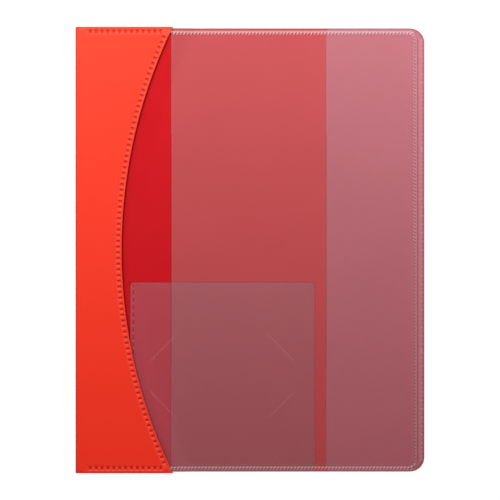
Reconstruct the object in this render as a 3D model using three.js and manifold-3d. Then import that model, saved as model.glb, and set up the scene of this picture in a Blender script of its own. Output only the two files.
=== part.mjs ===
// A4 document folder of welded plastic sheet, closed and lying on its back cover.
// A strip of leatherette wraps the spine and runs onto both covers, where it ends in a hollow arc.
// The front cover is clear film with a wide pocket behind it. The back cover is red film, which
// carries a narrow pocket and a disc pocket with four slits for a visiting card.
// x runs from the spine to the open side, y up the page and z out of the front cover, in millimetres.

import * as THREE from 'three';
import { mergeGeometries, mergeVertices } from 'three/addons/utils/BufferGeometryUtils.js';
import Module from 'manifold-3d';

const wasm = await Module();
wasm.setup();

// Covers
const folderWidth = 244;
const filmHeight = 310;
const cornerRadius = 10;
const filmThickness = 0.3;
const frontCoverSetback = 1;
const filmStart = 10;

// Leatherette spine wrap
const wrapThickness = 0.9;
const wrapWidthMiddle = 32.4;
const wrapWidthEnd = 68.2;
const wrapOverhang = 1;

// Pockets
const pocketThickness = 0.2;
const widePocketWidth = 176.8;
const narrowPocketWidth = 69.3;
const discPocketWidth = 130.5;
const discPocketHeight = 133;
const pocketSpacing = 6.8;

// Slits that hold a visiting card by its corners
const cardWidth = 90;
const cardHeight = 50;
const cornerTuck = 6.7;
const slitLength = 24;
const slitWidth = 0.4;

// Air between the sheets, and the length over which they settle beside the leatherette's edge
const sheetGap = 0.05;
const coverGap = 0.1;
const settleStart = 0.5;
const settleLength = 16;

// Imitation stitching, pressed into the leatherette
const stitchPitch = 4;
const stitchSize = 2.7;
const stitchDepth = 0.35;
const stitchFloorShare = 0.6;
const stitchInset = 3;
const stitchStart = 10.4;
const stitchRowGap = 3.9;

// Rope weld round the free sides of each cover
const ropePitch = 2.4;
const ropePitLength = 2.3;
const ropePitWidth = 1;
const ropePitDepth = 0.16;
const ropeSlant = THREE.MathUtils.degToRad(60);
const ropeInsetSide = 5.4;
const ropeInsetEnd = 3;
const ropeCornerRadius = 5;

// Broken weld down the sides of the disc pocket
const seamPitch = 5.15;
const seamDashLength = 3.3;
const seamDashWidth = 0.8;
const seamDashDepth = 0.1;
const seamInset = 2.5;

// Fineness of the curves
const arcSegments = 64;
const foldSegments = 6;
const cornerSegments = 8;
const settleSegments = 4;
const turnSegments = 180;
const cutMargin = 1;

// Places that follow from the sizes
const spineX = -folderWidth / 2;
const openX = folderWidth / 2;
const frontOpenX = openX - frontCoverSetback;
const filmX = spineX + filmStart;
const wrapHeight = filmHeight + 2 * wrapOverhang;
const wrapDip = wrapWidthEnd - wrapWidthMiddle;
const wrapRadius = ((wrapHeight / 2) ** 2 + wrapDip ** 2) / (2 * wrapDip);
const wrapCentreX = spineX + wrapWidthMiddle + wrapRadius;
const narrowPocketX = openX - narrowPocketWidth;
const discPocketRight = narrowPocketX - pocketSpacing;
const discPocketLeft = discPocketRight - discPocketWidth;
const discPocketTop = discPocketHeight - filmHeight / 2;

// Heights of the sheets where they lie free of the leatherette
const lift = wrapThickness + sheetGap;
const backPocketZ = filmThickness + sheetGap;
const widePocketZ = backPocketZ + pocketThickness + coverGap;
const frontFilmZ = widePocketZ + pocketThickness + sheetGap;
const frontWrapZ = lift + frontFilmZ + filmThickness + sheetGap;
const closedThickness = frontWrapZ + wrapThickness;
const foldZ = closedThickness / 2;
const foldRadius = closedThickness / 2;

// A closed geometry as a solid that can be joined and cut
function solid(geometry) {
  const bare = geometry.index ? geometry.toNonIndexed() : geometry.clone();
  bare.deleteAttribute('normal');
  bare.deleteAttribute('uv');
  const merged = mergeVertices(bare);
  return new wasm.Manifold(new wasm.Mesh({
    numProp: 3,
    vertProperties: new Float32Array(merged.attributes.position.array),
    triVerts: new Uint32Array(merged.index.array),
  }));
}

// A solid as a named, coloured sub-part
function subpart(name, body, material) {
  const { vertProperties, triVerts } = body.getMesh();
  const geometry = new THREE.BufferGeometry();
  geometry.setAttribute('position', new THREE.BufferAttribute(vertProperties, 3));
  geometry.setIndex(new THREE.BufferAttribute(triVerts, 1));
  geometry.computeVertexNormals();
  const mesh = new THREE.Mesh(geometry, material);
  mesh.name = name;
  return mesh;
}

// Everything inside an outline, from below the folder to above it
function column(outline, curveSegments) {
  const depth = closedThickness + 2 * cutMargin;
  const geometry = new THREE.ExtrudeGeometry(outline, { depth, curveSegments, bevelEnabled: false });
  return solid(geometry.translate(0, 0, -cutMargin));
}

// A rectangle whose two corners on the open side are round
function coverOutline(left, right) {
  const top = filmHeight / 2;
  const outline = new THREE.Shape();
  outline.moveTo(left, -top);
  outline.lineTo(right - cornerRadius, -top);
  outline.absarc(right - cornerRadius, cornerRadius - top, cornerRadius, -Math.PI / 2, 0, false);
  outline.lineTo(right, top - cornerRadius);
  outline.absarc(right - cornerRadius, top - cornerRadius, cornerRadius, 0, Math.PI / 2, false);
  outline.lineTo(left, top);
  outline.closePath();
  return outline;
}

function rectangleOutline(left, right, low, high) {
  const outline = new THREE.Shape();
  outline.moveTo(left, low);
  outline.lineTo(right, low);
  outline.lineTo(right, high);
  outline.lineTo(left, high);
  outline.closePath();
  return outline;
}

// The leatherette seen from the front: square at the spine, hollow on the cover
function wrapOutline() {
  const half = wrapHeight / 2;
  const reach = Math.asin(half / wrapRadius);
  const outline = new THREE.Shape();
  outline.moveTo(spineX - cutMargin, -half);
  outline.lineTo(spineX + wrapWidthEnd, -half);
  outline.absarc(wrapCentreX, 0, wrapRadius, Math.PI + reach, Math.PI - reach, true);
  outline.lineTo(spineX - cutMargin, half);
  outline.closePath();
  return outline;
}

// How far a sheet is lifted by the leatherette, at a distance from the centre of the arc:
// nothing where it lies free, then an S-curve, and all of it over the leatherette
function liftAt(radius) {
  const foot = wrapRadius - settleStart - settleLength;
  const share = THREE.MathUtils.clamp((radius - foot) / settleLength, 0, 1);
  return (lift * (1 - Math.cos(Math.PI * share))) / 2;
}

// A sheet's section turns about the arc's centre, and its outline is cut from that ring
function sheet(z, thickness, outline) {
  const nearest = wrapCentreX - openX - cutMargin;
  const farthest = Math.hypot(wrapCentreX - spineX, filmHeight / 2);
  const foot = wrapRadius - settleStart - settleLength;
  const section = [new THREE.Vector2(nearest, z)];
  for (let step = 0; step <= settleSegments; step += 1) {
    const radius = foot + (settleLength * step) / settleSegments;
    section.push(new THREE.Vector2(radius, z + liftAt(radius)));
  }
  section.push(new THREE.Vector2(farthest, z + lift));
  const upper = section.map((point) => new THREE.Vector2(point.x, point.y + thickness)).reverse();
  const ring = new THREE.LatheGeometry([...section, ...upper, section[0]], turnSegments);
  ring.rotateX(Math.PI / 2).translate(wrapCentreX, 0, 0);
  return solid(ring).intersect(column(outline, cornerSegments));
}

// A four-sided pit whose mouth is at z = 0 and whose floor is a share of the mouth
function pit(length, width, depth, floorShare) {
  const section = [
    new THREE.Vector2(0, -depth),
    new THREE.Vector2(Math.SQRT1_2, 0),
    new THREE.Vector2(Math.SQRT1_2, depth),
    new THREE.Vector2(0, depth),
  ];
  if (floorShare > 0) {
    section.splice(1, 0, new THREE.Vector2(Math.SQRT1_2 * floorShare, -depth));
  }
  const geometry = new THREE.LatheGeometry(section, 4, Math.PI / 4);
  return geometry.rotateX(Math.PI / 2).scale(length, width, 1);
}

// Copies of a pit, evenly spaced along a path and turned by a slant from its direction.
// They are set into a face that looks up (side 1) or down (side -1), at its height at each place.
function pitsAlong(path, pitch, shape, side, slant, heightAt) {
  const count = Math.max(1, Math.round(path.getLength() / pitch));
  const pits = [];
  for (let index = 0; index <= count; index += 1) {
    const point = path.getPointAt(index / count);
    const along = path.getTangentAt(index / count);
    const copy = side > 0 ? shape.clone() : shape.clone().rotateX(Math.PI);
    copy.rotateZ(Math.atan2(along.y, along.x) + slant);
    pits.push(copy.translate(point.x, point.y, heightAt(point)));
  }
  return pits;
}

// The height of a sheet's face, whose free part lies at z
function onSheet(z) {
  return (point) => z + liftAt(Math.hypot(point.x - wrapCentreX, point.y));
}

function straightPath(x1, y1, x2, y2) {
  const path = new THREE.Path();
  path.moveTo(x1, y1);
  path.lineTo(x2, y2);
  return path;
}

// Half of the wrap, from the middle of the fold outwards: side 1 is the front, side -1 the back
function wrapHalf(side) {
  const centreX = spineX + foldRadius;
  const inner = foldRadius - wrapThickness;
  const quarter = side * Math.PI / 2;
  const section = new THREE.Shape();
  section.moveTo(spineX, foldZ);
  section.absarc(centreX, foldZ, foldRadius, Math.PI, quarter, side > 0);
  section.lineTo(spineX + wrapWidthEnd + cutMargin, foldZ + side * foldRadius);
  section.lineTo(spineX + wrapWidthEnd + cutMargin, foldZ + side * inner);
  section.lineTo(centreX, foldZ + side * inner);
  section.absarc(centreX, foldZ, inner, quarter, Math.PI, side < 0);
  section.closePath();
  const depth = wrapHeight + 2 * cutMargin;
  const strip = new THREE.ExtrudeGeometry(section, {
    depth,
    curveSegments: foldSegments,
    bevelEnabled: false,
  });
  strip.rotateX(Math.PI / 2).translate(0, depth / 2, 0);
  const leather = solid(strip).intersect(column(wrapOutline(), arcSegments));
  return leather.subtract(solid(mergeGeometries(stitchPits(side))));
}

// One row of stitches follows the arc, and one crosses the leatherette at each end
function stitchPits(side) {
  const rowY = wrapHeight / 2 - stitchInset;
  const rowRadius = wrapRadius + stitchInset;
  const reach = Math.asin((rowY - stitchRowGap) / rowRadius);
  const arc = new THREE.Path();
  arc.absarc(wrapCentreX, 0, rowRadius, Math.PI - reach, Math.PI + reach, false);
  const cornerX = wrapCentreX - Math.sqrt(rowRadius ** 2 - rowY ** 2);
  const rowEnd = cornerX - stitchPitch;
  const rowStart = spineX + stitchStart;
  const rows = [
    arc,
    straightPath(rowStart, rowY, rowEnd, rowY),
    straightPath(rowStart, -rowY, rowEnd, -rowY),
  ];
  const shape = pit(stitchSize, stitchSize, stitchDepth, stitchFloorShare);
  const face = foldZ + side * foldRadius;
  return rows.flatMap((row) => pitsAlong(row, stitchPitch, shape, side, 0, () => face));
}

// The rope weld leaves the leatherette at the head, rounds the open side and returns at the foot
function ropePits(right, z, side) {
  const sideX = right - ropeInsetSide;
  const endY = filmHeight / 2 - ropeInsetEnd;
  const startX = spineX + wrapWidthEnd + ropePitLength;
  const bendX = sideX - ropeCornerRadius;
  const bendY = endY - ropeCornerRadius;
  const path = new THREE.Path();
  path.moveTo(startX, endY);
  path.lineTo(bendX, endY);
  path.absarc(bendX, bendY, ropeCornerRadius, Math.PI / 2, 0, true);
  path.lineTo(sideX, -bendY);
  path.absarc(bendX, -bendY, ropeCornerRadius, 0, -Math.PI / 2, true);
  path.lineTo(startX, -endY);
  const shape = pit(ropePitLength, ropePitWidth, ropePitDepth, 0);
  return solid(mergeGeometries(pitsAlong(path, ropePitch, shape, side, ropeSlant, onSheet(z))));
}

// The sides of the disc pocket are held by short welds, and its foot by the rope weld
function seamPits() {
  const top = discPocketTop - seamInset;
  const foot = ropeInsetEnd + ropePitLength - filmHeight / 2;
  const shape = pit(seamDashLength, seamDashWidth, seamDashDepth, 0);
  const face = onSheet(backPocketZ + pocketThickness);
  const dashes = [discPocketLeft + seamInset, discPocketRight - seamInset].flatMap((x) => (
    pitsAlong(straightPath(x, top, x, foot), seamPitch, shape, 1, 0, face)
  ));
  return solid(mergeGeometries(dashes));
}

// Four slits cross the corners of a card that is centred on the disc pocket
function cardSlits() {
  const tuck = cornerTuck * Math.SQRT1_2;
  const centreX = (discPocketLeft + discPocketRight) / 2;
  const centreY = (discPocketTop - filmHeight / 2) / 2;
  const slits = [];
  for (const sideX of [-1, 1]) {
    for (const sideY of [-1, 1]) {
      const slit = new THREE.BoxGeometry(slitLength, slitWidth, 2 * closedThickness);
      slit.rotateZ(-sideX * sideY * Math.PI / 4);
      const x = centreX + sideX * (cardWidth / 2 - tuck);
      const y = centreY + sideY * (cardHeight / 2 - tuck);
      slits.push(slit.translate(x, y, closedThickness / 2));
    }
  }
  return solid(mergeGeometries(slits));
}

function film(color, roughness, opacity) {
  return new THREE.MeshStandardMaterial({
    color,
    roughness,
    metalness: 0,
    opacity,
    transparent: opacity < 1,
  });
}

const leatherette = film(0xff4a33, 0.55, 1);
const redFilm = film(0xcd1520, 0.3, 1);
const clearFilm = film(0xf6f2f0, 0.12, 0.25);
const milkyFilm = film(0xcfc4c4, 0.5, 0.5);

const frontOutline = coverOutline(filmX, frontOpenX);
const backOutline = coverOutline(filmX, openX);
const wideOutline = coverOutline(frontOpenX - widePocketWidth, frontOpenX);
const narrowOutline = coverOutline(narrowPocketX, openX);
const discOutline = rectangleOutline(discPocketLeft, discPocketRight, -filmHeight / 2, discPocketTop);

const frontFilm = sheet(frontFilmZ, filmThickness, frontOutline)
  .subtract(ropePits(frontOpenX, frontFilmZ + filmThickness, 1));
const backFilm = sheet(0, filmThickness, backOutline).subtract(ropePits(openX, 0, -1));
const discPocket = sheet(backPocketZ, pocketThickness, discOutline)
  .subtract(cardSlits())
  .subtract(seamPits());

const folder = new THREE.Group();
folder.add(
  subpart('spine_wrap_back', wrapHalf(-1), leatherette),
  subpart('back_cover_film', backFilm, redFilm),
  subpart('narrow_pocket', sheet(backPocketZ, pocketThickness, narrowOutline), milkyFilm),
  subpart('disc_pocket', discPocket, milkyFilm),
  subpart('wide_pocket', sheet(widePocketZ, pocketThickness, wideOutline), milkyFilm),
  subpart('front_cover_film', frontFilm, clearFilm),
  subpart('spine_wrap_front', wrapHalf(1), leatherette),
);

export default folder;
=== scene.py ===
import bpy
import numpy as np
from mathutils.geometry import delaunay_2d_cdt
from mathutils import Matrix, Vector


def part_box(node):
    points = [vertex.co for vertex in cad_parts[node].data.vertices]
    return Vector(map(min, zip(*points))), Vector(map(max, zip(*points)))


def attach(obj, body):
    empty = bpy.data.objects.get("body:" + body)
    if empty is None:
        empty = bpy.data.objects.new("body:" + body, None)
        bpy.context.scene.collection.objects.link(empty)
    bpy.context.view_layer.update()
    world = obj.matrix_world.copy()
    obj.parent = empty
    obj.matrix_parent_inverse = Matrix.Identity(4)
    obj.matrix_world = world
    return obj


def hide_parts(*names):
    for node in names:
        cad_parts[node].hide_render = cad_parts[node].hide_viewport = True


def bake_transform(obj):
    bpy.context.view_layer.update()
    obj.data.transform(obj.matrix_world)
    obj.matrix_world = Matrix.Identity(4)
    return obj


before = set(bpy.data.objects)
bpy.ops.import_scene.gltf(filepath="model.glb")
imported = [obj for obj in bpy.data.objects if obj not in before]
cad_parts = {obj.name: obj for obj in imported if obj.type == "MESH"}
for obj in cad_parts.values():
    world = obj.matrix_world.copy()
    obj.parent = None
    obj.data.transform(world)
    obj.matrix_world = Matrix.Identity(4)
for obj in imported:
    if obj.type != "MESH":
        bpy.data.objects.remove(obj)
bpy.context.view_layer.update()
MM = 0.001

# Camera, table and light, in metres. The folder lies on a white table, seen from straight above. Two
# soft lamps stand beyond its head, left and right, so the light falls off towards the foot. The rest
# of the script is in millimetres.
camera_height = 1.5
camera_reach = 20
picture_width = 0.350
camera_data = bpy.data.cameras.new("camera")
camera_data.lens = camera_data.sensor_width * camera_height / picture_width
camera_data.clip_end = camera_reach
camera = bpy.data.objects.new("camera", camera_data)
camera.location = (0, 0, camera_height)
bpy.context.collection.objects.link(camera)
bpy.context.scene.camera = camera
bpy.context.scene.view_settings.view_transform = "Standard"

lamp_aside = 0.4
lamp_beyond = 0.5
lamp_height = 0.7
lamp_size = 0.35
lamp_power = 5.4
for name, side in (("left_lamp", -1), ("right_lamp", 1)):
    lamp_data = bpy.data.lights.new(name, "AREA")
    lamp_data.shape = "SQUARE"
    lamp_data.size = lamp_size
    lamp_data.energy = lamp_power
    lamp = bpy.data.objects.new(name, lamp_data)
    lamp.location = (side * lamp_aside, lamp_beyond, lamp_height)
    lamp.rotation_euler = lamp.location.to_track_quat("Z", "Y").to_euler()
    bpy.context.collection.objects.link(lamp)


def feed(tree, socket, value):
    """Gives a socket another node's output, a colour or a number."""
    if isinstance(value, bpy.types.NodeSocket):
        tree.links.new(value, socket)
    else:
        socket.default_value = (*value, 1) if np.ndim(value) else value


def ranged(tree, value, low, high, full=1.0):
    """A number that goes in proportion from low, where the value is 0, to high, where it is full."""
    node = tree.nodes.new("ShaderNodeMapRange")
    node.inputs["From Max"].default_value = full
    for socket, given in (("Value", value), ("To Min", low), ("To Max", high)):
        feed(tree, node.inputs[socket], given)
    return node.outputs["Result"]


def camera_sees(tree, seen, otherwise):
    """One number for what the camera sees directly, and another for every other ray."""
    path = tree.nodes.new("ShaderNodeLightPath")
    return ranged(tree, path.outputs["Is Camera Ray"], otherwise, seen)


sky_light = 0.12
world = bpy.data.worlds.new("studio")
bpy.context.scene.world = world
world.use_nodes = True
sky = world.node_tree.nodes["Background"]
sky.inputs["Color"].default_value = (1, 1, 1, 1)
feed(world.node_tree, sky.inputs["Strength"], camera_sees(world.node_tree, 1.0, sky_light))


def new_material(name):
    """A node material with its Principled shader, ready to be wired."""
    material = bpy.data.materials.new(name)
    material.use_nodes = True
    return material, material.node_tree, material.node_tree.nodes["Principled BSDF"]


table_reach = 4.0
table_drop = 0.0001
table_glow = 0.93
table_seen_grey = 0.12
table_grey = 0.8
table_material, table_tree, table_shader = new_material("white_table")
table_shader.inputs["Roughness"].default_value = 0.7
table_shader.inputs["Specular IOR Level"].default_value = 0.1
table_shader.inputs["Emission Color"].default_value = (1, 1, 1, 1)
feed(table_tree, table_shader.inputs["Emission Strength"], camera_sees(table_tree, table_glow, 0.0))
feed(table_tree, table_shader.inputs["Base Color"], camera_sees(table_tree, table_seen_grey, table_grey))
table_mesh = bpy.data.meshes.new("table")
table_corners = np.array([(-1, -1, 0), (1, -1, 0), (1, 1, 0), (-1, 1, 0)]) * table_reach
table_mesh.from_pydata((table_corners - (0, 0, table_drop)).tolist(), [], [(0, 1, 2, 3)])
table_mesh.materials.append(table_material)
table = bpy.data.objects.new("table", table_mesh)
bpy.context.collection.objects.link(table)


# Spine wrap. One strip of padded leatherette, cut with a hollow arc at each end, is folded round the
# spine. It is welded to the covers through a row of small square pits that imitates stitching.
wrap_low, wrap_high = np.array(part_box("spine_wrap_front")) / MM
spine_x, fold_z = wrap_low[0], wrap_low[2]
wrap_half, wrap_top = wrap_high[1], wrap_high[2]
fold_radius = wrap_top - fold_z
fold_x = spine_x + fold_radius
fold_length = fold_radius * np.pi / 2
wrap_thickness = 0.9
wrap_width_middle = 32.4
wrap_dip = wrap_high[0] - spine_x - wrap_width_middle
arc_radius = (wrap_half ** 2 + wrap_dip ** 2) / (2 * wrap_dip)
arc_x = spine_x + wrap_width_middle + arc_radius
cut_rounding = 0.45
pad_waves = 0.03

pit_pitch = 4.0
pit_depth = 0.35
pit_half_along = 0.65
pit_half_across = 0.9
pit_wall = 0.5
band_half = 1.0
band_slope = 0.9
band_depth = 0.08
arc_inset = 2.6
end_inset = 3.5
end_row_start = 10.4
arc_row_gap = 3.9
row_y = wrap_half - end_inset
row_radius = arc_radius + arc_inset
row_reach = row_radius * np.arcsin((row_y - arc_row_gap) / row_radius)
row_start = spine_x + end_row_start
row_end = arc_x - np.sqrt(row_radius ** 2 - row_y ** 2) - pit_pitch


def smooth(value):
    """0 below 0, 1 above 1, and the cubic 3t^2 - 2t^3 between."""
    t = np.clip(value, 0, 1)
    return t * t * (3 - 2 * t)


def row_steps(length):
    """How many whole pitches a row of pits holds, and the pitch that fills its length."""
    count = max(1, round(length / pit_pitch))
    return count, length / count


def row_pits(along, across, length):
    """Depth of a row of pits, 0 to 1. along runs from 0 to length, across is the distance from the row.
    Each pit is flat inside its floor and climbs to the face at its mouth, as a smooth cubic."""
    count, pitch = row_steps(length)
    local = along - pitch * np.clip(np.round(along / pitch), 0, count)
    floor_along = 1 - smooth((np.abs(local) - pit_half_along) / pit_wall)
    floor_across = 1 - smooth((np.abs(across) - pit_half_across) / pit_wall)
    return floor_along * floor_across


def stitching(x, y):
    """The rows of imitation stitches: the share of a pit, the share of the pressed band that carries
    the pits, and the distance from the nearest cut edge. One row follows the arc, at arc_inset from it,
    and one each end of the leatherette, at end_inset."""
    radius = np.hypot(x - arc_x, y)
    edge = np.minimum(radius - arc_radius, wrap_half - np.abs(y))
    arc_across = radius - row_radius
    arc_along = row_radius * np.arcsin(np.clip(y / radius, -1, 1)) + row_reach
    end_across = np.abs(y) - row_y
    pits = row_pits(arc_along, arc_across, 2 * row_reach)
    pits = np.maximum(pits, row_pits(x - row_start, end_across, row_end - row_start))
    arc_band = 1 - smooth((np.abs(arc_across) - band_half) / band_slope)
    end_band = 1 - smooth((np.abs(end_across) - band_half) / band_slope)
    end_band = end_band * smooth((x - row_start + pit_pitch) / pit_pitch)
    return pits, np.maximum(arc_band, end_band), edge


def wrap_x(s):
    """x of a point of the unrolled strip. s is the length from the middle of the fold, less than 0 on
    the back: a quarter circle of fold_radius, then a straight run."""
    turn = np.clip(np.abs(s) / fold_length, 0, 1) * np.pi / 2
    on_fold = fold_x - fold_radius * np.cos(turn)
    return np.where(np.abs(s) < fold_length, on_fold, fold_x + np.abs(s) - fold_length)


def front_s(x):
    """Length along the strip of a place on the front cover."""
    return fold_length + x - fold_x


def round_arc(turn, radius):
    """x and y of points on a circle about the arc's centre. turn is 0 in the middle of the spine."""
    return arc_x - radius * np.cos(turn), radius * np.sin(turn)


def wrap_relief(flat):
    """Depth of the leatherette's face: a quarter circle down at the cut edges, a shallow pressed band
    with the pits in it, and slow waves of the padded field, as a product of sines."""
    x, y = wrap_x(flat[:, 0]), flat[:, 1]
    pits, band, edge = stitching(x, y)
    slope = np.clip(1 - edge / cut_rounding, 0, 1)
    depth = cut_rounding * (1 - np.sqrt(1 - slope ** 2))
    waves = pad_waves * (1 + np.sin(x / 9 + np.sin(y / 23)) * np.sin(y / 17)) / 2
    return depth + band_depth * band + pit_depth * pits + waves


def wrap_mark(flat):
    """1 on the floor of a pit, which is painted shade, and 0.4 on the cut edges at the head and the foot,
    which are a little darker. Below 0 a painted highlight where light catches the weld: -0.6 on the bridges
    between the pits and -0.2 on the margin."""
    pits, band, edge = stitching(wrap_x(flat[:, 0]), flat[:, 1])
    # The bridges and the margin get a painted highlight.
    painted_highlight = np.maximum(0.6 * band, 0.2 * (1 - smooth((edge - 2.4) / 1.6)))
    cut = 1 - smooth((wrap_half - np.abs(flat[:, 1]) - 0.3) / 0.8)
    plain = 0.4 * cut - (1 - cut) * painted_highlight * (np.abs(flat[:, 0]) > fold_length)
    return np.where(pits > 0.02, pits, plain)


def wrap_form(flat, depth):
    """Folds the strip round the spine: on the fold a point lies on a circle about (fold_x, fold_z), whose
    radius is fold_radius less its depth, and beyond it the covers' faces lie flat."""
    s, y = flat[:, 0], flat[:, 1]
    side = np.sign(s) + (s == 0)
    turn = np.clip(np.abs(s) / fold_length, 0, 1) * np.pi / 2
    radius = fold_radius - depth
    beyond = np.maximum(np.abs(s) - fold_length, 0)
    x = fold_x - radius * np.cos(turn) + beyond
    z = fold_z + side * radius * np.sin(turn)
    return np.stack([x, y, z], 1)


def lattice(first, second):
    """Every pair of the two lists, as rows of an (n, 2) array."""
    return np.stack(np.meshgrid(first, second, indexing="ij"), -1).reshape(-1, 2)


def mirrored(steps):
    """The same steps below 0, 0 itself, and the steps, in rising order."""
    return np.concatenate([-np.array(steps[::-1]), [0], steps])


def row_samples(length):
    """Places along a row of pits that follow their walls and floors, and run a pitch past its ends."""
    count, pitch = row_steps(length)
    local = np.append(mirrored([0.3, 0.65, 0.9, 1.15, 1.4]), pitch / 2)
    whole = (pitch * np.arange(-1, count + 2)[:, None] + local).ravel()
    return whole[(whole > -pit_pitch) & (whole < length + pit_pitch)]


def inside(points, ring):
    """Even-odd test: a point is inside if a line to its right crosses the ring an odd number of times."""
    crossings = np.zeros(len(points), int)
    for (x1, y1), (x2, y2) in zip(ring, np.roll(ring, -1, axis=0)):
        spans = (y1 > points[:, 1]) != (y2 > points[:, 1])
        rise = (points[:, 1] - y1) / np.where(y2 == y1, 1, y2 - y1)
        crossings += spans & (points[:, 0] < x1 + rise * (x2 - x1))
    return crossings % 2 == 1


def cut_flat(outline, holes, points):
    """Joins the points of the rings and those inside into a flat net of triangles, as even as they can be,
    with the rings as edges. Only what lies inside the outline and off the holes is kept."""
    rings = [outline, *holes]
    edges = []
    for ring in rings:
        places = len(edges) + np.arange(len(ring))
        edges.extend(np.stack([places, np.roll(places, -1)], 1).tolist())
    flat = np.concatenate([*rings, points])
    flat, _, faces, *_ = delaunay_2d_cdt(flat.tolist(), edges, [], 0, 1e-5, False)
    flat, faces = np.array(flat), np.array(faces)
    centres = flat[faces].mean(1)
    keep = inside(centres, outline)
    for hole in holes:
        keep &= ~inside(centres, hole)
    used, faces = np.unique(faces[keep], return_inverse=True)
    return flat[used], faces.reshape(-1, 3)


def closed_shell(faces, count):
    """The triangles of a sheet with both sides: the faces, the same turned round on the reverse, whose
    points come count further on, and two for each rim edge, which is an edge of one face only."""
    sides = np.concatenate([faces[:, [0, 1]], faces[:, [1, 2]], faces[:, [2, 0]]])
    key = sides[:, 0] * count + sides[:, 1]
    opposite = sides[:, 1] * count + sides[:, 0]
    start, end = sides[~np.isin(key, opposite)].T
    first = np.stack([end, start, start + count], 1)
    second = np.stack([end, start + count, end + count], 1)
    return np.concatenate([faces, faces[:, ::-1] + count, first, second])


def formed_sheet(name, outline, points, relief, form, thickness, mark, holes=(), mark_reverse=True):
    """A sheet that is cut flat and then formed. relief gives the depth of the face at each flat point,
    form puts a flat point at a depth in space, and the reverse lies at the full thickness. mark is kept
    as an attribute, on the face and, unless mark_reverse is off, on the reverse."""
    flat, faces = cut_flat(outline, holes, points)
    count = len(flat)
    triangles = closed_shell(faces, count)
    places = np.concatenate([form(flat, relief(flat)), form(flat, np.full(count, thickness))])
    a, b, c = (places[triangles[:, i]] for i in range(3))
    if np.einsum("ij,ij->", a, np.cross(b, c)) < 0:
        triangles = triangles[:, ::-1]

    mesh = bpy.data.meshes.new(name)
    mesh.vertices.add(len(places))
    mesh.vertices.foreach_set("co", (places * MM).ravel())
    mesh.loops.add(triangles.size)
    mesh.loops.foreach_set("vertex_index", triangles.ravel())
    mesh.polygons.add(len(triangles))
    mesh.polygons.foreach_set("loop_start", np.arange(0, triangles.size, 3))
    mesh.update(calc_edges=True)
    mesh.validate()
    marks = np.concatenate([mark(flat), mark(flat) * mark_reverse])
    mesh.attributes.new("mark", "FLOAT", "POINT").data.foreach_set("value", marks)
    mesh.shade_smooth()
    mesh.set_sharp_from_angle(angle=np.radians(40))
    piece = bpy.data.objects.new(name, mesh)
    bpy.context.collection.objects.link(piece)
    return piece


def clear_of_edges(points, arc_gap, end_gap):
    """The points of the strip that lie further than arc_gap from the arc, and than end_gap from the
    cut edges at the head and the foot."""
    from_arc = np.hypot(wrap_x(points[:, 0]) - arc_x, points[:, 1]) - arc_radius
    return points[(from_arc > arc_gap) & (wrap_half - np.abs(points[:, 1]) > end_gap)]


wrap_reach = front_s(wrap_high[0])
arc_turn = np.arcsin(wrap_half / arc_radius)
cut_x, cut_y = round_arc(np.linspace(-arc_turn, arc_turn, 321)[1:-1], arc_radius)
front_cut = np.stack([front_s(cut_x), cut_y], 1)
head_s = np.arange(-np.floor(wrap_reach), wrap_reach, 1.0)
head_cut = np.stack([head_s, np.full(len(head_s), wrap_half)], 1)
wrap_outline = np.concatenate([
    [(wrap_reach, -wrap_half)], front_cut,
    [(wrap_reach, wrap_half)], head_cut[::-1],
    [(-wrap_reach, wrap_half)], front_cut[::-1] * (-1, 1),
    [(-wrap_reach, -wrap_half)], head_cut * (1, -1),
])

arc_steps = np.concatenate([[-2.6, -2.35], mirrored([0.45, 0.9, 1.15, 1.4, 1.9]), [2.6, 3.4]])
arc_grid = lattice((row_samples(2 * row_reach) - row_reach) / row_radius, row_radius + arc_steps)
arc_grid_x, arc_grid_y = round_arc(arc_grid[:, 0], arc_grid[:, 1])
arc_points = clear_of_edges(np.stack([front_s(arc_grid_x), arc_grid_y], 1), 0.1, 0.3)
end_points = lattice(front_s(row_samples(row_end - row_start) + row_start), row_y - arc_steps)
end_points = clear_of_edges(end_points, 6.0, 0.1)
fold_reach = fold_length * 1.25
fold_half = wrap_half - 0.4
fold_points = lattice(np.linspace(0, fold_reach, 11), np.linspace(-fold_half, fold_half, 105))
field_points = lattice(np.arange(fold_reach + 1.5, wrap_reach, 2.5), np.linspace(-150, 150, 101))
field_points = clear_of_edges(field_points, 7.5, 7.5)
one_side = np.concatenate([arc_points, end_points, end_points * (1, -1), fold_points, field_points])
other_side = one_side[one_side[:, 0] > 0] * (-1, 1)
wrap_points = np.concatenate([one_side, other_side])
wrap = formed_sheet(
    "spine_wrap", wrap_outline, wrap_points, wrap_relief, wrap_form, wrap_thickness, wrap_mark,
    mark_reverse=False,
)


def calculated(tree, operation, first, second, held=False):
    """The result of an operation on two numbers or outputs. held keeps it between 0 and 1."""
    node = tree.nodes.new("ShaderNodeMath")
    node.operation = operation
    node.use_clamp = held
    feed(tree, node.inputs[0], first)
    feed(tree, node.inputs[1], second)
    return node.outputs[0]


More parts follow.
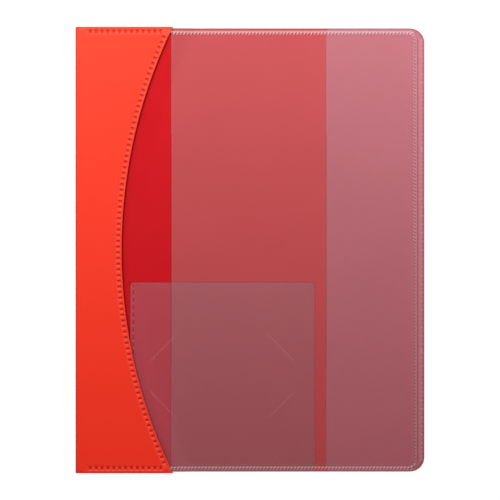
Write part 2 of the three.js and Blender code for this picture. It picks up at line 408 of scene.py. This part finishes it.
def surface_grain():
    """Node group: fine grain and a slow drift over the surface, both from 0 to 1, at sizes in metres.
    Each is noise on Object coordinates, whose scale is 1 divided by the size."""
    group = bpy.data.node_groups.new("surface_grain", "ShaderNodeTree")
    for name in ("Grain size", "Drift size"):
        group.interface.new_socket(name, in_out="INPUT", socket_type="NodeSocketFloat")
    for name in ("Grain", "Drift"):
        group.interface.new_socket(name, in_out="OUTPUT", socket_type="NodeSocketFloat")
    given = group.nodes.new("NodeGroupInput")
    result = group.nodes.new("NodeGroupOutput")
    place = group.nodes.new("ShaderNodeTexCoord")
    for source, target, detail in (("Grain size", "Grain", 0), ("Drift size", "Drift", 1)):
        texture = group.nodes.new("ShaderNodeTexNoise")
        texture.inputs["Detail"].default_value = detail
        scale = calculated(group, "DIVIDE", 1, given.outputs[source])
        group.links.new(place.outputs["Object"], texture.inputs["Vector"])
        group.links.new(scale, texture.inputs["Scale"])
        group.links.new(texture.outputs["Fac"], result.inputs[target])
    return group


grain = surface_grain()


def grained(tree, grain_size, drift_size):
    """The shared grain in one material, with its own sizes in millimetres."""
    node = tree.nodes.new("ShaderNodeGroup")
    node.node_tree = grain
    node.inputs["Grain size"].default_value = grain_size * MM
    node.inputs["Drift size"].default_value = drift_size * MM
    return node.outputs["Grain"], node.outputs["Drift"]


def marked(tree, full):
    """How far the mark attribute has gone from 0 to full, which is 1 or -1, as a share from 0 to 1."""
    mark = tree.nodes.new("ShaderNodeAttribute")
    mark.attribute_name = "mark"
    return ranged(tree, mark.outputs["Fac"], 0.0, 1.0, full)


def mixed(tree, factor, low, high):
    """A colour between low, where the factor is 0, and high, where it is 1."""
    node = tree.nodes.new("ShaderNodeMix")
    node.data_type = "RGBA"
    for socket, given in (("Factor", factor), ("A", low), ("B", high)):
        feed(tree, node.inputs[socket], given)
    return node.outputs["Result"]


def bumped(tree, shader, height, strength, distance):
    """A fine relief on the shader's normal. distance is in millimetres."""
    bump = tree.nodes.new("ShaderNodeBump")
    bump.inputs["Strength"].default_value = strength
    bump.inputs["Distance"].default_value = distance * MM
    tree.links.new(height, bump.inputs["Height"])
    tree.links.new(bump.outputs["Normal"], shader.inputs["Normal"])


leather_dull = (0.96, 0.0145, 0.0045)
leather_bright = (0.98, 0.0185, 0.006)
# The pit colour below is painted shade for the pits' floors and the darker cut edges, and the next one is a
# painted highlight on the bridges between the pits and on the margin.
leather_painted_shade = (0.60, 0.0, 0.0)
leather_painted_highlight = (1, 0.060, 0.040)
leather, leather_tree, leather_shader = new_material("leatherette")
leather_grain, leather_drift = grained(leather_tree, 0.45, 28)
leather_colour = mixed(leather_tree, leather_drift, leather_dull, leather_bright)
leather_colour = mixed(leather_tree, marked(leather_tree, 1), leather_colour, leather_painted_shade)
leather_colour = mixed(leather_tree, marked(leather_tree, -1), leather_colour, leather_painted_highlight)
feed(leather_tree, leather_shader.inputs["Base Color"], leather_colour)
feed(leather_tree, leather_shader.inputs["Roughness"], ranged(leather_tree, leather_grain, 0.56, 0.46))
leather_shader.inputs["Specular IOR Level"].default_value = 0.8
leather_shader.inputs["Specular Tint"].default_value = (1, 0.75, 0.45, 1)
bumped(leather_tree, leather_shader, leather_grain, 0.35, 0.05)
wrap.data.materials.append(leather)
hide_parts("spine_wrap_front", "spine_wrap_back")
# The strip turns only between the inner faces of the two covers, so each face keeps to its cover.
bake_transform(wrap)


# Back cover. Opaque red film, on which the folder lies, with a rope-like weld pressed round its free
# sides. It is flat and climbs onto the leatherette in a soft step beside the arc, as all sheets do.
film_low, film_high = np.array(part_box("back_cover_film")) / MM
film_x, open_x, film_half = film_low[0], film_high[0], film_high[1]
front_open_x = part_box("front_cover_film")[1][0] / MM
film_thickness = 0.3
corner_radius = 10.0
outline_step = 2.0
sheet_lift = film_high[2] - film_low[2] - film_thickness
settle_start = 0.5
settle_length = 16.0

rope_pitch = 2.4
rope_half = 1.15
rope_depth = 0.17
rope_inset_side = 5.4
rope_inset_end = 3.0
rope_corner = 5.0
rope_slant = np.radians(-58)
field_step = 6.0


def outline_of(corners):
    """Points along a closed line through the corners, no further apart than outline_step."""
    parts = []
    for start, end in zip(corners, np.roll(corners, -1, axis=0)):
        steps = max(1, int(np.ceil(np.hypot(*(end - start)) / outline_step)))
        parts.append(start + (end - start) * np.arange(steps)[:, None] / steps)
    return np.concatenate(parts)


def cover_outline(left, right):
    """A rectangle as high as the films, whose corners on the open side are quarter circles."""
    quarter = np.linspace(0, np.pi / 2, 13)
    across, along = corner_radius * np.sin(quarter), corner_radius * np.cos(quarter)
    centre_x, centre_y = right - corner_radius, film_half - corner_radius
    foot = np.stack([centre_x + across, -centre_y - along], 1)
    head = np.stack([centre_x + along, centre_y + across], 1)
    return outline_of(np.concatenate([[(left, -film_half)], foot, head, [(left, film_half)]]))


def edge_distance(flat, right):
    """Distance inwards from a cover's cut edge: from its straight sides, or from the quarter circle in a
    corner of the open side."""
    x, y = flat[:, 0], np.abs(flat[:, 1])
    past_x, past_y = x - right + corner_radius, y - film_half + corner_radius
    straight = np.minimum(right - x, film_half - y)
    return np.where((past_x > 0) & (past_y > 0), corner_radius - np.hypot(past_x, past_y), straight)


def within(points, ring, margin):
    """The points that lie inside a ring and more than a margin from its own points."""
    points = points[inside(points, ring)]
    gap = np.hypot(points[:, None, 0] - ring[None, :, 0], points[:, None, 1] - ring[None, :, 1])
    return points[np.min(gap, 1) > margin]


def sheet_rise(flat):
    """Height gained beside the arc: half a cosine wave over settle_length, all of it on the leatherette."""
    radius = np.hypot(flat[:, 0] - arc_x, flat[:, 1])
    share = np.clip((radius - arc_radius + settle_start + settle_length) / settle_length, 0, 1)
    return sheet_lift * (1 - np.cos(np.pi * share)) / 2


def swell(flat):
    """From 0 at the welded edges and the arc to 1 in the middle of the covers, as smooth cubics 90 mm
    long, with slow waves."""
    x, y = flat[:, 0], flat[:, 1]
    from_arc = smooth((arc_radius - np.hypot(x - arc_x, y) - 10) / 90)
    from_side = smooth((front_open_x - 7 - x) / 90)
    from_end = smooth((film_half - 5 - np.abs(y)) / 90)
    waves = 1 + 0.16 * np.sin(x / 31 + y / 47) + 0.10 * np.sin(y / 26 - x / 55)
    return from_arc * from_side * from_end * waves


def sheet_form(face_z, swelling, face_up):
    """Puts a flat point of a sheet at its height, with its rise and its share of the swell. Depth counts
    down from a face that looks up, or up from one that looks down."""
    way = -1 if face_up else 1

    def form(flat, depth):
        """Height of the face, and the depth counted from it."""
        z = face_z + sheet_rise(flat) + swelling * swell(flat) + way * depth
        return np.column_stack([flat, z])

    return form


def rope_path(right):
    """Middle line of the rope weld: x of its run down the open side, y of its run at the head, and the
    centre of the quarter circle that joins them."""
    side_x, end_y = right - rope_inset_side, film_half - rope_inset_end
    return side_x, end_y, side_x - rope_corner, end_y - rope_corner


def rope_frame(flat, right):
    """Distance along the rope weld, and across it, outwards. The weld runs along the head, round the
    open side and back along the foot, with small quarter circles at the corners."""
    side_x, end_y, bend_x, bend_y = rope_path(right)
    x, y = flat[:, 0], np.abs(flat[:, 1])
    past_x, past_y = np.maximum(x - bend_x, 0), np.maximum(y - bend_y, 0)
    in_corner = (x > bend_x) & (y > bend_y)
    straight = np.where(x - side_x > y - end_y, x - side_x, y - end_y)
    across = np.where(in_corner, np.hypot(past_x, past_y) - rope_corner, straight)
    turn = np.arctan2(past_x, past_y)
    quarter = rope_corner * np.pi / 2
    on_end = y - end_y >= x - side_x
    along_end = np.minimum(x, bend_x) + rope_corner * turn
    along_side = bend_x + quarter + (bend_y - np.minimum(y, bend_y)) - rope_corner * (np.pi / 2 - turn)
    along = np.where(in_corner | on_end, along_end, along_side)
    total = bend_x + quarter + bend_y
    return np.where(flat[:, 1] >= 0, along, 2 * total - along), across


def rope_strands(flat, right):
    """The share of the pressed band, the strands across it, 1 on a crest and -1 in the pit beside it,
    the distance across the weld, and 0 or 1 before or after the weld starts at the leatherette."""
    along, across = rope_frame(flat, right)
    started = smooth((flat[:, 0] - wrap_high[0] + 2.0) / 1.0)
    band = (1 - smooth((np.abs(across) - rope_half + 0.35) / 0.35)) * started
    phase = (along + across / np.tan(rope_slant)) * 2 * np.pi / rope_pitch
    return band, np.cos(phase), across, started


def rope_relief(right):
    """Depth of the weld: a pressed band, from which slanted strands rise like those of a rope."""

    def relief(flat):
        """The band's depth, less up to nine tenths of it on a crest."""
        band, strand, _, _ = rope_strands(flat, right)
        return rope_depth * band * (1 - 0.45 * (1 + strand))

    return relief


def rope_points(right):
    """Sample points of the weld, eight along each pitch and fifteen across, and of the cut edges."""
    side_x, end_y, bend_x, bend_y = rope_path(right)
    across = np.append([-3.3, -2.8], mirrored([0.45, 0.85, 1.15, 1.5, 1.9, 2.3]))
    start_x = wrap_high[0] - 1
    step = rope_pitch / 8
    ends = lattice(np.arange(start_x, bend_x, step), end_y + across)
    side = lattice(np.arange(-bend_y, bend_y, step), side_x + across)[:, ::-1]
    turn, radius = lattice(np.linspace(0, np.pi / 2, 26), rope_corner + across).T
    corner = np.stack([bend_x + radius * np.sin(turn), bend_y + radius * np.cos(turn)], 1)
    hem = right - np.array([0.25, 0.5, 0.75, 1.0, 1.3, 1.8, 2.4])
    hems = lattice(hem, np.arange(8 - film_half, film_half - 8, 3.0))
    brims = lattice(np.arange(start_x, right - 8, 1.5), [film_half - 0.35])
    mirror = (1, -1)
    return np.concatenate([ends, ends * mirror, side, corner, corner * mirror, hems, brims, brims * mirror])


def settle_points(left, right):
    """Sample points where a sheet climbs onto the leatherette: rings about the arc's centre."""
    reach = 1.12 * np.arcsin(film_half / arc_radius)
    near = np.array([-1.0, -0.3, 0.3, 0.7, 1.1, 1.6, 2.2, 3, 4])
    far = np.array([5.2, 6.5, 8, 9.5, 11, 12.5, 14, 16, 18])
    rings = lattice(np.linspace(-reach, reach, 110), arc_radius - np.append(near, far))
    x, y = round_arc(rings[:, 0], rings[:, 1])
    on_sheet = (x > left + 0.5) & (x < right - 0.5) & (np.abs(y) < film_half - 0.4)
    return np.stack([x, y], 1)[on_sheet]


def open_points(left, right, low, high, step):
    """A plain grid of sample points that keeps off the rings beside the arc."""
    xs = np.linspace(left, right, max(3, int((right - left) / step)))
    ys = np.linspace(low, high, max(3, int((high - low) / step)))
    points = lattice(xs[1:-1], ys[1:-1])
    from_arc = arc_radius - np.hypot(points[:, 0] - arc_x, points[:, 1])
    return points[(from_arc < -3) | (from_arc > settle_length + 4)]


def cover_points(left, right):
    """All sample points of a cover, with its weld round the free sides."""
    weld_x, weld_y = right - rope_inset_side - 4.0, film_half - rope_inset_end - 4.0
    rope = rope_points(right)
    rope = rope[rope[:, 0] > left + 0.3]
    settle = settle_points(left, right)
    settle = settle[np.abs(settle[:, 1]) < weld_y]
    return np.concatenate([rope, settle, open_points(left, weld_x, -weld_y, weld_y, field_step)])


def back_mark(flat):
    """Below 0 where shade is painted on the red: -0.8 on the cut edges, and -0.95 beside the leatherette,
    as the painted shadow of its thick edge on the film. Most of that ends within 1.7 mm, and a faint part
    reaches 5.2 mm."""
    beside = arc_radius - np.hypot(flat[:, 0] - arc_x, flat[:, 1])
    shade = 0.65 * (1 - smooth((beside - 0.7) / 1.0)) + 0.3 * (1 - smooth((beside - 0.7) / 4.5))
    return -np.maximum(0.8 * (1 - smooth((edge_distance(flat, open_x) - 0.25) / 0.5)), shade)


back_outline = cover_outline(film_x, open_x)
back_points = within(cover_points(film_x, open_x), back_outline, 0.25)
back_film = formed_sheet(
    "back_cover", back_outline, back_points, rope_relief(open_x), sheet_form(0, 0, False),
    film_thickness, back_mark,
)
red_dull = (0.63, 0.004, 0.010)
red_bright = (0.67, 0.006, 0.013)
# This colour is painted shade: the leatherette's shadow beside the arc and the darker cut edges.
red_shade = (0.38, 0.0, 0.002)
red, red_tree, red_shader = new_material("red_film")
red_grain, red_drift = grained(red_tree, 0.5, 40)
red_plain = mixed(red_tree, red_drift, red_dull, red_bright)
red_colour = mixed(red_tree, marked(red_tree, -1), red_plain, red_shade)
feed(red_tree, red_shader.inputs["Base Color"], red_colour)
feed(red_tree, red_shader.inputs["Roughness"], ranged(red_tree, red_grain, 0.52, 0.44))
red_shader.inputs["Specular IOR Level"].default_value = 0.1
red_shader.inputs["Metallic"].default_value = 0.3
bumped(red_tree, red_shader, red_grain, 0.15, 0.03)
back_film.data.materials.append(red)
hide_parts("back_cover_film")
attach(back_film, "back_cover")


# Narrow pocket. Thin milky film, welded inside the back cover along the open side, the head and the
# foot, and open towards the spine. It takes the edge of a loose sheet.
narrow_x, _, pocket_z = np.array(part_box("narrow_pocket")[0]) / MM
pocket_thickness = 0.2
inner_swelling = 0.15
edge_steps = np.array([0.35, 0.7, 1.05, 1.4, 1.9, 2.6, 3.5])


def line_at(distance, place, width):
    """A soft line, as a bell curve: 1 where the distance is the place, near 0 beyond twice the width."""
    return np.exp(-((distance - place) / width) ** 2)


def film_finish(
    name, haze, tint, whitening_and_highlight_haze, whitening_and_highlight_tint, painted_shade_haze, painted_shade_tint, roughness, satin=0.0, glance=0.0
):
    """A see-through film. haze is the share of light that one face of the sheet gives back, in its tint.
    Where mark is above 0 the film is white from the weld and lit by painted highlights, and where it is
    below 0 a painted shade darkens what lies under it. satin turns the haze towards a wide reflection, and
    glance adds some at a low angle, by the fifth power of the slant."""
    material, tree, shader = new_material(name)
    fine, drift = grained(tree, 0.8, 45)
    # Above 0 the mark is the weld's white with a painted highlight; below 0 it is painted shade, in its own
    # dark tint.
    whitening_and_highlight = marked(tree, 1)
    painted_shade = marked(tree, -1)
    plain = mixed(tree, drift, np.array(tint) * 0.97, np.array(tint) * 1.03)
    whitening_and_highlight_colour = mixed(tree, whitening_and_highlight, plain, whitening_and_highlight_tint)
    shade_start = ranged(tree, painted_shade, 0.0, 1.0, full=0.12)
    feed(tree, shader.inputs["Base Color"], mixed(tree, shade_start, whitening_and_highlight_colour, painted_shade_tint))
    whitening_and_highlight_share = ranged(tree, whitening_and_highlight, haze, whitening_and_highlight_haze)
    share = ranged(tree, painted_shade, whitening_and_highlight_share, painted_shade_haze)
    slant = tree.nodes.new("ShaderNodeLayerWeight")
    slant.inputs["Blend"].default_value = 0.5
    shine = calculated(tree, "POWER", slant.outputs["Facing"], 5)
    share = calculated(tree, "ADD", share, ranged(tree, shine, 0.0, glance), held=True)
    feed(tree, shader.inputs["Alpha"], share)
    feed(tree, shader.inputs["Roughness"], ranged(tree, fine, roughness * 0.9, roughness * 1.1))
    shader.inputs["Metallic"].default_value = satin
    return material


def flat_face(flat):
    """No relief: depth 0 all over."""
    return np.zeros(len(flat))


def edge_mark(left):
    """A cut edge is clear and a little dark with painted shade, and beside it runs a faint painted
    highlight.
    """

    def mark(flat):
        """-1 on the edge, rising to 0 within 0.7 mm, and 0.05 in the bell curve at 1.4 mm."""
        inset = flat[:, 0] - left
        return 0.05 * line_at(inset, 1.4, 0.5) - (1 - smooth((inset - 0.35) / 0.35))

    return mark


def pocket_points(left, right, outline):
    """Sample points of a pocket: the rings beside the arc and a plain grid, and close rows along its
    cut edge at the left."""
    settle = settle_points(left, right)
    plain = open_points(left, right, -film_half, film_half, field_step)
    points = within(np.concatenate([settle, plain]), outline, 1.0)
    rows = lattice(left + edge_steps, np.arange(2 - film_half, film_half - 1, 2.0))
    return np.concatenate([points[points[:, 0] > left + 4.2], rows])


def let_light_through(sheet):
    """Thin translucent film throws no shadow on what lies right below it, and scatters nothing back."""
    sheet.visible_shadow = False
    sheet.visible_diffuse = False


milky = dict(whitening_and_highlight_haze=0.30, roughness=0.5, satin=0.6, glance=0.3)
narrow_milky = film_finish(
    "narrow_milky_film", haze=0.125, tint=(0.38, 0.43, 0.58), whitening_and_highlight_tint=(0.75, 0.62, 0.68),
    painted_shade_haze=0.04, painted_shade_tint=(0.06, 0.0, 0.01), **milky,
)
narrow_outline = cover_outline(narrow_x, open_x)
narrow_pocket = formed_sheet(
    "narrow_pocket", narrow_outline, pocket_points(narrow_x, open_x, narrow_outline), flat_face,
    sheet_form(pocket_z + pocket_thickness, inner_swelling, True), pocket_thickness, edge_mark(narrow_x),
)
narrow_pocket.data.materials.append(narrow_milky)
let_light_through(narrow_pocket)
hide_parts("narrow_pocket")
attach(narrow_pocket, "back_cover")


# Disc pocket. Thin milky film on the back cover, open at the top and held by broken welds down its
# sides. Four punched slits take the corners of a visiting card.
disc_low, disc_high = np.array(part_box("disc_pocket")) / MM
(disc_left, disc_foot), (disc_right, disc_head) = disc_low[:2], disc_high[:2]
weld_pitch = 5.15
weld_half_length = 1.65
seam_half = 0.22
seam_fade = 0.25
seam_x = np.array([disc_left + 3.0, disc_right - 2.1])
seam_foot = disc_foot + 5.3
seam_head = disc_head - 2.5
seam_count = round((seam_head - seam_foot) / weld_pitch)
seam_step = (seam_head - seam_foot) / seam_count

slit_length = 24.0
slit_width = 0.2
card_half = np.array([45.0, 25.0])
corner_tuck = 6.7 / np.sqrt(2)
disc_centre = (disc_low + disc_high)[:2] / 2
slit_signs = np.array([(-1, -1), (-1, 1), (1, -1), (1, 1)])
slit_centres = disc_centre + slit_signs * (card_half - corner_tuck)
slit_ways = slit_signs * (-1, 1) / np.sqrt(2)
slit_outwards = slit_signs / np.sqrt(2)


def seam_pattern(flat):
    """-0.1 in a short weld, up to 0.3 in the bridge between two welds, 0 off the seams."""
    across = np.min(np.abs(flat[:, :1] - seam_x), 1)
    along = seam_head - flat[:, 1]
    local = np.abs(along - seam_step * np.clip(np.round(along / seam_step), 0, seam_count))
    near = 1 - smooth((across - seam_half) / seam_fade)
    weld = near * (1 - smooth((local - weld_half_length) / seam_fade))
    bridge = near * smooth((local - weld_half_length - 0.1) / seam_fade)
    bridge = bridge * (along < seam_head - seam_foot + 1) * (along > -1)
    return 0.3 * bridge - 0.1 * weld


def slit_frame(flat, index):
    """Distance along one slit from its middle, and across it, away from the card's centre."""
    away = flat - slit_centres[index]
    return away @ slit_ways[index], away @ slit_outwards[index]


def slit_lip(flat):
    """A bright line on the outer lip of each slit, as a bell curve across it."""
    total = np.zeros(len(flat))
    for index in range(len(slit_signs)):
        along, across = slit_frame(flat, index)
        reach = 1 - smooth((np.abs(along) - slit_length / 2) / 0.5)
        total += 0.5 * reach * line_at(across, 0.35, 0.35)
    return total


def disc_mark(flat):
    """The seams and the slits' bright lips, and the cut edges at the top and the sides: a dark line of
    painted shade with a painted highlight beside it."""
    inset = [disc_head - flat[:, 1], flat[:, 0] - disc_left, disc_right - flat[:, 0]]
    edge = np.minimum.reduce(inset)
    rim = 0.08 * line_at(edge, 1.4, 0.5) - (1 - smooth((edge - 0.35) / 0.4))
    return np.where(edge < 1.9, rim, seam_pattern(flat)) + slit_lip(flat)


def disc_relief(flat):
    """The welds are pressed in, and the outer lip of each slit stands 0.12 mm proud, as a parabola along
    the slit and a smooth cubic 5 mm across."""
    total = np.maximum(-seam_pattern(flat), 0)
    for index in range(len(slit_signs)):
        along, across = slit_frame(flat, index)
        reach = np.clip(1 - (2 * along / slit_length) ** 2, 0, 1)
        total -= 0.12 * reach * (across > 0) * (1 - smooth(across / 5))
    return total


disc_outline = outline_of(np.array([
    (disc_left, disc_foot), (disc_right, disc_foot), (disc_right, disc_head), (disc_left, disc_head),
]))
disc_rows = np.arange(disc_foot + 2, disc_head - 1.5, 2.0)
disc_edge = np.concatenate([
    lattice(np.arange(disc_left + 2, disc_right - 1, 2.0), disc_head - edge_steps[:4]),
    lattice(disc_left + edge_steps[:4], disc_rows),
    lattice(disc_right - edge_steps[:4], disc_rows),
])
weld_samples = np.array([-1.9, -1.65, -0.8, 0, 0.8, 1.65, 1.9, 2.55])
seam_along = (seam_step * np.arange(seam_count + 1)[:, None] + weld_samples).ravel()
seam_grid = np.concatenate([
    lattice(x + mirrored([seam_half, 0.5]), seam_head - seam_along) for x in seam_x
])
disc_field = np.concatenate([
    open_points(disc_left + 3, disc_right - 3, disc_foot, disc_head - 1.5, 5.0),
    settle_points(disc_left + 3.5, disc_right),
])
disc_field = disc_field[disc_field[:, 1] < disc_head - 1.5]

# Each slit is a slim ellipse, with rows of sample points beside its lips.
slit_holes = []
slit_points = []
lengths = np.linspace(-0.5, 0.5, 25) * slit_length
half_widths = slit_width / 2 * np.sqrt(np.clip(1 - (2 * lengths / slit_length) ** 2, 0, 1))
lip_steps = [-2.4, -1.2, -0.6, -0.3, 0.35, 0.7, 1.2, 2.4, 4.0]
for index, (centre, way, outwards) in enumerate(zip(slit_centres, slit_ways, slit_outwards)):
    upper = centre + lengths[:, None] * way + half_widths[:, None] * outwards
    lower = centre + lengths[:, None] * way - half_widths[:, None] * outwards
    slit_holes.append(np.concatenate([upper, lower[-2:0:-1]]))
    near = lattice(lengths, lip_steps)
    slit_points.append(centre + near[:, :1] * way + near[:, 1:] * outwards)
    along, across = slit_frame(disc_field, index)
    disc_field = disc_field[(np.abs(along) > slit_length / 2 + 2) | (np.abs(across) > 5)]

disc_points = within(np.concatenate([disc_edge, seam_grid, disc_field, *slit_points]), disc_outline, 0.2)
disc_pocket = formed_sheet(
    "disc_pocket", disc_outline, disc_points, disc_relief,
    sheet_form(pocket_z + pocket_thickness, inner_swelling, True), pocket_thickness, disc_mark, slit_holes,
)
disc_milky = film_finish(
    "disc_milky_film", haze=0.18, tint=(0.225, 0.195, 0.255), whitening_and_highlight_tint=(0.75, 0.55, 0.60),
    painted_shade_haze=0.05, painted_shade_tint=(0.05, 0.0, 0.005), **milky,
)
disc_pocket.data.materials.append(disc_milky)
let_light_through(disc_pocket)
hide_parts("disc_pocket")
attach(disc_pocket, "back_cover")


# Wide pocket. Thin milky film, welded behind the front cover on three sides by the cover's own rope
# weld, and open towards the spine.
wide_x, _, wide_z = np.array(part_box("wide_pocket")[0]) / MM
wide_swelling = 0.4
wide_outline = cover_outline(wide_x, front_open_x)
wide_pocket = formed_sheet(
    "wide_pocket", wide_outline, pocket_points(wide_x, front_open_x, wide_outline), flat_face,
    sheet_form(wide_z + pocket_thickness, wide_swelling, True), pocket_thickness, edge_mark(wide_x),
)
wide_milky = film_finish(
    "wide_milky_film", haze=0.14, tint=(0.27, 0.29, 0.295), whitening_and_highlight_tint=(0.75, 0.55, 0.60),
    painted_shade_haze=0.04, painted_shade_tint=(0.06, 0.0, 0.01), **milky,
)
wide_pocket.data.materials.append(wide_milky)
let_light_through(wide_pocket)
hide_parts("wide_pocket")
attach(wide_pocket, "front_cover")


# Front cover. Clear glossy film, the thickest of the see-through sheets. The rope weld round its free
# sides joins it to the wide pocket, and its spine edge is held under the leatherette.
sheet_gap = 0.05
front_z = wide_z + pocket_thickness + sheet_gap
front_swelling = 0.6


def rope_mark(right):
    """How the weld looks from above. Above 0 it is white from the weld and lit by painted highlights, below
    0 it is painted shade over what lies under it. Along the head, which the light reaches most, a white
    flange and strands, a dark crease inside; along the foot the same, turned dark side out; along the open
    side, painted less lit, a row of fine pits, a dark crease and a bright line before the cut edge."""

    def mark(flat):
        """A sum of bell-curve lines, each at a distance across the weld or from the cut edge."""
        _, strand, across, started = rope_strands(flat, right)
        edge = edge_distance(flat, right)
        side = smooth((flat[:, 0] - right + rope_inset_side + 2.2) / 2.4)
        head = smooth(flat[:, 1] / 20 + 0.5) * (1 - side)
        foot = (1 - side) - head
        pits = np.maximum(-strand, 0) ** 2
        crests = np.maximum(strand, 0)
        cut = 1 - smooth((edge - 0.4) / 0.6)
        at_head = (
            0.6 * line_at(edge, 2.4, 0.6)
            + 0.95 * crests * line_at(across, -0.5, 0.8)
            - 0.95 * pits * line_at(across, -0.7, 0.6)
            - 0.17 * line_at(across, -2.2, 0.4)
            - 0.25 * cut
        )
        at_foot = (
            (0.3 + 0.9 * crests) * line_at(across, 0.15, 0.5)
            - 0.9 * pits * line_at(across, 0.9, 0.45)
            - 0.15 * (0.6 + 0.4 * strand) * line_at(across, -1.7, 0.5)
            + (0.15 + 0.35 * crests) * line_at(edge, 1.3, 0.4)
            - 0.3 * cut
        )
        at_side = (
            0.2 * line_at(across, 0.6, 0.4)
            + 0.12 * crests * line_at(across, 0.0, 0.4)
            - 0.95 * pits * line_at(across, -0.1, 0.4)
            - 0.35 * line_at(across, 1.65, 0.4)
            + 0.16 * line_at(edge, 2.3, 0.8)
            + 0.5 * line_at(edge, 0.85, 0.35)
            - 0.25 * (1 - smooth((edge - 0.15) / 0.5))
        )
        return (head * at_head + foot * at_foot + side * at_side) * started

    return mark


front_outline = cover_outline(film_x, front_open_x)
front_points = within(cover_points(film_x, front_open_x), front_outline, 0.25)
front_film = formed_sheet(
    "front_cover", front_outline, front_points, rope_relief(front_open_x),
    sheet_form(front_z + film_thickness, front_swelling, True), film_thickness, rope_mark(front_open_x),
)
clear_film = film_finish(
    "clear_film", haze=0.002, tint=(0.80, 0.78, 0.78), whitening_and_highlight_haze=0.45, whitening_and_highlight_tint=(1.0, 0.58, 0.64),
    painted_shade_haze=0.42, painted_shade_tint=(0.10, 0.01, 0.02), roughness=0.16, glance=0.5,
)
front_film.data.materials.append(clear_film)
let_light_through(front_film)
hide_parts("front_cover_film")
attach(front_film, "front_cover")
